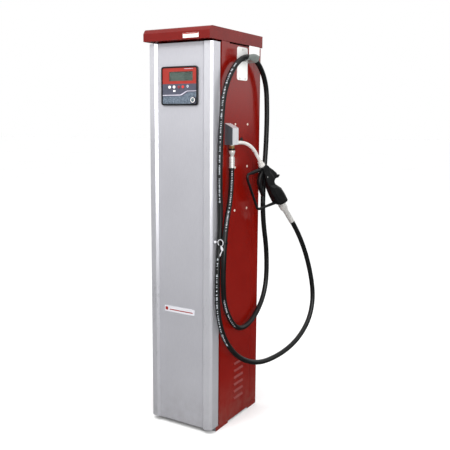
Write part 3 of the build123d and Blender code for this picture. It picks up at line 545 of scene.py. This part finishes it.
def hose_print(name, path, start, end, seed, facing):
    """Worn white marks along a hose, like its printed line, as small curved patches."""
    rng = np.random.default_rng(seed)
    reach = reaches(path)
    tangents, _ = frames(path)
    facing = np.array(facing, float)
    vertices, faces = [], []
    at = start
    while at < end:
        length = float(rng.choice(MARK_LENGTHS))
        tall = float(rng.choice(MARK_ANGLES))
        if rng.random() < MARK_SHARE:
            for here in (at, at + length):
                for a in np.linspace(-tall, tall, MARK_POINTS):
                    s = here + MARK_SLANT * a
                    p = np.array([np.interp(s, reach, path[:, c]) for c in range(3)])
                    t = np.array([np.interp(s, reach, tangents[:, c]) for c in range(3)])
                    t /= np.linalg.norm(t)
                    n = facing - t * np.dot(facing, t)
                    n /= np.linalg.norm(n)
                    b = np.cross(t, n)
                    vertices.append(p + (HOSE_R + INK_THICK) * (cos(a) * n + sin(a) * b))
            far = len(vertices) - MARK_POINTS
            near = far - MARK_POINTS
            faces += [(near + i, near + i + 1, far + i + 1, far + i) for i in range(MARK_POINTS - 1)]
            at += length
        at += float(rng.choice(MARK_GAPS, p=GAP_CHANCES))
    marks = add_mesh(name, vertices, faces, print_white, ride=False)
    thick = marks.modifiers.new("thickness", "SOLIDIFY")
    thick.thickness = INK_THICK
    thick.offset = -1
    return marks


up_total = run_length(up_path)
# path, start and end along it, seed, and the side that the marks face
PRINTED = {
    "hose_marks_inner": (up_path, 0.012, 0.27, 3, (0.62, -0.78, 0)),
    "hose_marks_top": (up_path, up_total - 0.38, up_total - 0.002, 5, (0.35, -0.93, 0)),
    "hose_marks_outer": (down_path, 0.002, 0.2, 8, (0.35, -0.93, 0)),
    "hose_marks_low_outer": (
        down_path, reach_at(down_path, 0.775), reach_at(down_path, 0.40), 12, (0.30, -0.95, 0.05),
    ),
    "hose_marks_low_inner": (
        up_path, reach_at(up_path, 0.60), reach_at(up_path, 0.455), 14, (0.55, -0.83, 0.05),
    ),
}
marks = {name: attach(hose_print(name, *row), "cabinet") for name, row in PRINTED.items()}

# ------------------------------------------------------------------ tie and seal on the hoses
TIE = Vector((0.1855, -0.1832, 0.838))


def near_tie(offsets):
    """Points given as offsets from the tie."""
    return np.array([TIE + Vector(offset) for offset in offsets])


ring_path = near_tie(
    (0.0035 + 0.0125 * cos(a), -0.0165 - 0.001 * sin(a), 0.002 + 0.0135 * sin(a))
    for a in np.linspace(0, 2 * pi, 48)
)
tag_path = near_tie([
    (0.007, -0.0175, -0.012), (0.0095, -0.0178, -0.018), (0.012, -0.0175, -0.025), (0.014, -0.017, -0.031),
])
tail_path = near_tie([
    (0.0105, -0.0172, -0.031), (0.007, -0.0168, -0.039), (0.003, -0.0168, -0.047), (0.001, -0.0168, -0.054),
])
wire_path = near_tie([(-0.006, -0.0165, 0.004), (-0.011, -0.0185, 0.006), (-0.0175, -0.0195, 0.005)])
BEAD_R, BEAD_RINGS = 0.0064, range(9)
bead_path = near_tie((-0.0262 + 0.0015 * k, -0.0195, 0.0035) for k in BEAD_RINGS)
bead_radii = [BEAD_R * sqrt(max(0.03, 1 - ((k - 4) / 4.3) ** 2)) for k in BEAD_RINGS]
tie_pieces = [
    tube("tie_ring", ring_path, 0.0017, white, around=10, caps=False),
    tube("tie_tag", tag_path, [0.0036, 0.0052, 0.0056, 0.0036], white, around=12),
    tube("tie_tail", tail_path, [0.0020, 0.0022, 0.0030, 0.0026], white, around=10),
    tube("tie_bead_wire", wire_path, 0.0009, steel, around=8),
    tube("tie_bead", bead_path, bead_radii, white, around=16),
]

# ------------------------------------------------------------------ nozzle


def at_nozzle(s, t, n=0.0):
    """A point of the nozzle's leaning plane, in millimetres along, up and across."""
    return TIP + (LIFT * s + Vector((0, 0, 1)) * t + ACROSS * n) * MM


def slab(outline, low, high, edge):
    """A rounded slab of the nozzle between two distances across its plane."""
    vertices = [at_nozzle(s, t, n) for n in (low, high) for s, t in outline]
    obj = prism("slab", vertices, black, ride=False)
    bevel = obj.modifiers.new("bevel", "BEVEL")
    bevel.width = edge * MM
    bevel.segments = 3
    bevel.limit_method = "ANGLE"
    bevel.angle_limit = radians(50)
    return baked(obj)


def moulded(name, meshes, body, material, voxel=0.0014, rounds=5):
    """Fuse slabs into one moulded skin."""
    bm = bmesh.new()
    for mesh in meshes:
        bm.from_mesh(mesh)
    mesh = bpy.data.meshes.new(name)
    bm.to_mesh(mesh)
    bm.free()
    obj = bpy.data.objects.new(name, mesh)
    bpy.context.collection.objects.link(obj)
    remesh = obj.modifiers.new("remesh", "REMESH")
    remesh.mode = "VOXEL"
    remesh.voxel_size = voxel
    smooth = obj.modifiers.new("smooth", "SMOOTH")
    smooth.factor = 0.5
    smooth.iterations = rounds
    shaped = baked(obj)
    shaped.name = name
    obj = bpy.data.objects.new(name, shaped)
    bpy.context.collection.objects.link(obj)
    for polygon in shaped.polygons:
        polygon.use_smooth = True
    paint(obj, material)
    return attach(obj, body)


# outlines in the nozzle's plane, in millimetres along and up from TIP
HEAD = [(188, -96), (200, -106), (228, -120), (256, -138), (250, -158), (240, -170), (214, -176),
        (202, -196), (198, -165), (190, -135), (182, -112)]
BEAK = [(236, -126), (262, -143), (283, -146), (271, -158), (248, -163), (232, -152)]
CHEEK = [(158, -112), (181, -95), (200, -106), (212, -150), (212, -196), (198, -193), (186, -172),
         (180, -154), (169, -133)]
NECK = [(196, -118), (232, -148), (243, -165), (238, -175), (248, -188), (270, -197), (256, -232),
        (230, -238), (208, -200), (200, -186), (198, -160)]
GRIP = [(206, -192), (248, -187), (283, -204), (306, -229), (331, -262), (326, -270), (314, -276),
        (284, -284), (256, -272), (232, -239)]
GRIP_RIDGE = [(222, -200), (252, -196), (282, -214), (304, -240), (318, -262), (296, -272), (262, -258),
              (240, -230)]
nozzle_shell = moulded(
    "nozzle_shell",
    [
        slab(HEAD, -15, 15, 5), slab(BEAK, -9, 9, 3), slab(CHEEK, 10.2, 16.5, 2.2),
        slab(CHEEK, -16.5, -10.2, 2.2), slab(NECK, -16, 16, 5), slab(GRIP, -18.5, 18.5, 7),
        slab(GRIP_RIDGE, -20, 20, 3),
    ],
    "nozzle", black,
)
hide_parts("nozzle_body")

TRIGGER_LINE = [(175, -122), (163, -135), (155, -150), (151, -169), (154, -188), (165, -209), (179, -234)]


SQUARENESS = 0.55
TAPER, TAPER_FROM, TAPER_SPAN = 0.35, 0.85, 0.15


def squared(value, size):
    """A cosine or sine pushed out towards a square's side, half a size from the middle."""
    return (abs(value) ** SQUARENESS) * (1 if value > 0 else -1) * size / 2


def strap(name, outline_path, width, thick, body, material, around=16):
    """A rounded bar along a line in the nozzle's plane, thinner towards its end."""
    line = nurbs_line([(*p, 0) for p in outline_path], 8)
    vertices = []
    for i, p in enumerate(line):
        q = line[min(i + 1, len(line) - 1)] - line[max(i - 1, 0)]
        q /= np.linalg.norm(q)
        swell = 1 - TAPER * max(0, (i / len(line) - TAPER_FROM) / TAPER_SPAN) ** 2
        for k in range(around):
            a = 2 * pi * k / around
            x = squared(cos(a), thick) * swell
            vertices.append(at_nozzle(p[0] - q[1] * x, p[1] + q[0] * x, squared(sin(a), width)))
    faces = ring_faces(len(line), around) + end_faces(len(line), around)
    return add_mesh(name, vertices, faces, material, body)


trigger_bar = strap("trigger_bar", TRIGGER_LINE, 18.6, 14, "trigger", black)
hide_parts("trigger")

GUARD = [(166, -117), (150, -121), (112, -129), (92, -133.5), (80.5, -138), (78.5, -152), (84, -168),
         (100, -200), (122, -245), (136, -273), (143, -287), (154, -292), (172, -288.5), (222, -279),
         (262, -271.5)]
guard_line = nurbs_line([(*p, 0) for p in GUARD], 9)
guard_path = np.array([at_nozzle(p[0], p[1]) for p in guard_line])
last = len(guard_path) - 1
guard_r = np.interp(
    np.arange(len(guard_path)), [0, 8, 24, last - 8, last], [0.0088, 0.0084, 0.0058, 0.0058, 0.0072],
)
guard_loop = tube("guard_loop", guard_path, guard_r, black, around=18, body="nozzle")
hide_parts("trigger_guard")


def dome(name, centre, normal, radius, height, material, body, rings=5, around=20):
    """A low domed head on a surface."""
    normal = Vector(normal).normalized()
    turn = normal.to_track_quat("Z", "Y").to_matrix()
    vertices = []
    for i in range(rings):
        a = i / rings * pi / 2
        for k in range(around):
            b = 2 * pi * k / around
            local = Vector((radius * cos(a) * cos(b), radius * cos(a) * sin(b), height * sin(a)))
            vertices.append(Vector(centre) + turn @ local)
    vertices.append(Vector(centre) + normal * height)
    crown = len(vertices) - 1
    last = crown - around
    faces = ring_faces(rings, around)
    faces += [(last + k, last + (k + 1) % around, crown) for k in range(around)]
    faces.append(tuple(reversed(range(around))))
    return add_mesh(name, vertices, faces, material, body)


for face in (1, -1):
    dome(
        "shell_screw_" + ("out" if face > 0 else "in"), at_nozzle(190, -152, face * 15.6),
        ACROSS * face, 0.0032, 0.0016, steel, "nozzle",
    )


# ------------------------------------------------------------------ printed control panel
def plate(name, outline, y, material, thick=0.0003):
    """A thin patch facing the front; outline and y in millimetres, thickness in metres."""
    vertices = [(x * MM, y * MM - thick * k, z * MM) for k in (0, 1) for x, z in outline]
    return prism(name, vertices, material, smooth=False)


def rectangle(x0, z0, x1, z1):
    """The corners of an upright rectangle."""
    return [(x0, z0), (x1, z0), (x1, z1), (x0, z1)]


FACIA_Y, SCREEN_Y, LABEL_Y, BADGE_Y = -220.0, -215.85, -246.0, -215.2
FINE = 0.0002
stripe = [(-83, 1434), (4, 1434), (10, 1435), (15, 1437), (36, 1449), (42, 1450.3), (83, 1450.3),
          (83, 1452.6), (41, 1452.6), (33, 1451), (12, 1440.5), (6, 1437.5), (-83, 1436.6)]
lower = [(-83, 1402.5), (-78, 1400.8), (54, 1400.8), (54, 1408), (57, 1420), (64, 1428.5), (74, 1429.5),
         (83, 1426), (83, 1446), (46, 1446), (38, 1443), (14, 1430.5), (-83, 1430)]
LED_X, LED_Z, LED_R = 41, 1470, 5.2
led_ring = [(LED_X + LED_R * cos(a), LED_Z + LED_R * sin(a)) for a in np.linspace(0, 2 * pi, 17)[:-1]]
for name, outline, y, material, thick in (
    ("panel_lower_field", lower, FACIA_Y, facia_low, 0.0003),
    ("panel_stripe", stripe, FACIA_Y - 0.05, ink, 0.0004),
    ("panel_rule", rectangle(-83, 1479.2, 83, 1480.4), FACIA_Y, facia_grey, FINE),
    ("panel_mark", rectangle(-30, 1449, -19, 1456), FACIA_Y, key_white, 0.0003),
    ("panel_led_ring", led_ring, FACIA_Y + 0.15, ink, FINE),
):
    plate(name, outline, y, material, thick)

# a row of plain bars where the facia has a caption
CAPTION_END, CAPTION_LOW, CAPTION_HIGH, CAPTION_GAP = 66, 1538.5, 1540.5, 1.4
rng = np.random.default_rng(11)
x = 25
while x < CAPTION_END:
    wide = float(rng.choice([2.2, 3.4, 5.0]))
    bar = rectangle(x, CAPTION_LOW, x + wide, CAPTION_HIGH)
    plate(f"facia_caption_0_{int(x * 10)}", bar, FACIA_Y, ink, FINE)
    x += wide + CAPTION_GAP


def zero(name, x, z, high):
    """A seven-segment zero on the display."""
    w, t = high * 0.5, high * 0.11
    bars = {
        "a": (0, high - t, w, high), "b": (w - t, high / 2, w, high), "c": (w - t, 0, w, high / 2),
        "d": (0, 0, w, t), "e": (0, 0, t, high / 2), "f": (0, high / 2, t, high),
    }
    for key, (x0, z0, x1, z1) in bars.items():
        bar = rectangle(x + x0, z + z0, x + x1, z + z1)
        plate(f"{name}_{key}", bar, SCREEN_Y, segment, FINE)


for k in range(3):
    zero(f"upper_digit_{k}", 22 + 13 * k, 1511, 13)
for k in range(4):
    zero(f"lower_digit_{k}", 28 + 9 * k, 1496, 9)

READER_X, READER_Z, READER_R = 0.068, 1.4155, 0.0092
dome("reader_cup", (READER_X, -0.2245, READER_Z), (0, -1, 0), 0.0068, 0.002, reader_face, "cabinet")
reader_ring = np.array([
    (READER_X + READER_R * cos(a), -0.2242, READER_Z + READER_R * sin(a)) for a in np.linspace(0, 2 * pi, 41)
])
tube("reader_ring", reader_ring, 0.0014, key_white, around=10, caps=False)

# blank marks on the lid's label and the front badge
for name, x0, x1, z0, z1, y, material in (
    ("label_line_top", 37, 109, 1670.2, 1674.0, LABEL_Y, facia_red),
    ("label_line_mid", 41, 105, 1664.6, 1666.2, LABEL_Y, rivet_paint),
    ("label_line_low", 41, 98, 1659.6, 1661.0, LABEL_Y, rivet_paint),
    ("badge_square", -80, -66, 521, 535, BADGE_Y, facia_red),
    ("badge_line", -58, 62, 523, 527, BADGE_Y, facia_red),
):
    plate(name, rectangle(x0, z0, x1, z1), y, material, 0.00025)

# ------------------------------------------------------------------ floor, lights and backdrop
floor_paint = surface(
    "studio_floor", (0.93, 0.93, 0.93), (0.95, 0.95, 0.95), (0.7, 0.8), cloud=1.0, grain=60, bump=0,
    speck=0.1, shine=0.0,
)
FLOOR = 60
corners = [(x * FLOOR, y * FLOOR, 0) for x, y in ((-1, -1), (1, -1), (1, 1), (-1, 1))]
floor = add_mesh("floor", corners, [(0, 1, 2, 3)], floor_paint, ride=False)
floor.visible_glossy = False

# plain white to the camera, a bright sky over dark ground to mirrors, and a soft rise to the rest
SKY_SIDE, SKY_RISE = 0.30, 1.15
MIRROR_GROUND, MIRROR_SKY = 0.05, 0.9
world = bpy.context.scene.world or bpy.data.worlds.new("studio")
bpy.context.scene.world = world
world.use_nodes = True
sky = world.node_tree
height = xyz(sky, "Generated")["Z"]
rays = node(sky, "LightPath").outputs
soft = calc(sky, "MULTIPLY_ADD", height, SKY_RISE, SKY_SIDE)
mirror = spread(sky, height, MIRROR_GROUND, MIRROR_SKY, -0.03, 0.05)
light = node(sky, "Mix", [(0, rays["Is Glossy Ray"]), (2, soft), (3, mirror)]).outputs[0]
light = node(sky, "Mix", [(0, rays["Is Camera Ray"]), (2, light), (3, 1.0)]).outputs[0]
sky.nodes["Background"].inputs["Color"].default_value = (1, 1, 1, 1)
sky.links.new(light, sky.nodes["Background"].inputs["Strength"])


def softbox(name, place, target, size, power):
    """A large soft area light aimed at a point, its power in watts."""
    lamp = bpy.data.lights.new(name, "AREA")
    lamp.shape = "RECTANGLE"
    lamp.size, lamp.size_y = size
    lamp.energy = power
    obj = bpy.data.objects.new(name, lamp)
    obj.location = place
    aim = Vector(target) - Vector(place)
    obj.rotation_euler = aim.to_track_quat("-Z", "Y").to_euler()
    bpy.context.collection.objects.link(obj)


softbox("key", (2.9, -2.7, 1.9), (0.1, 0, 1.2), (2.0, 2.4), 100)
softbox("front", (-0.2, -1.8, 2.9), (0, -0.2, 1.7), (1.0, 0.7), 26)
softbox("overhead", (0.2, -0.6, 4.2), (0, 0, 1.2), (2.4, 2.4), 30)
bpy.context.scene.view_settings.view_transform = "Standard"
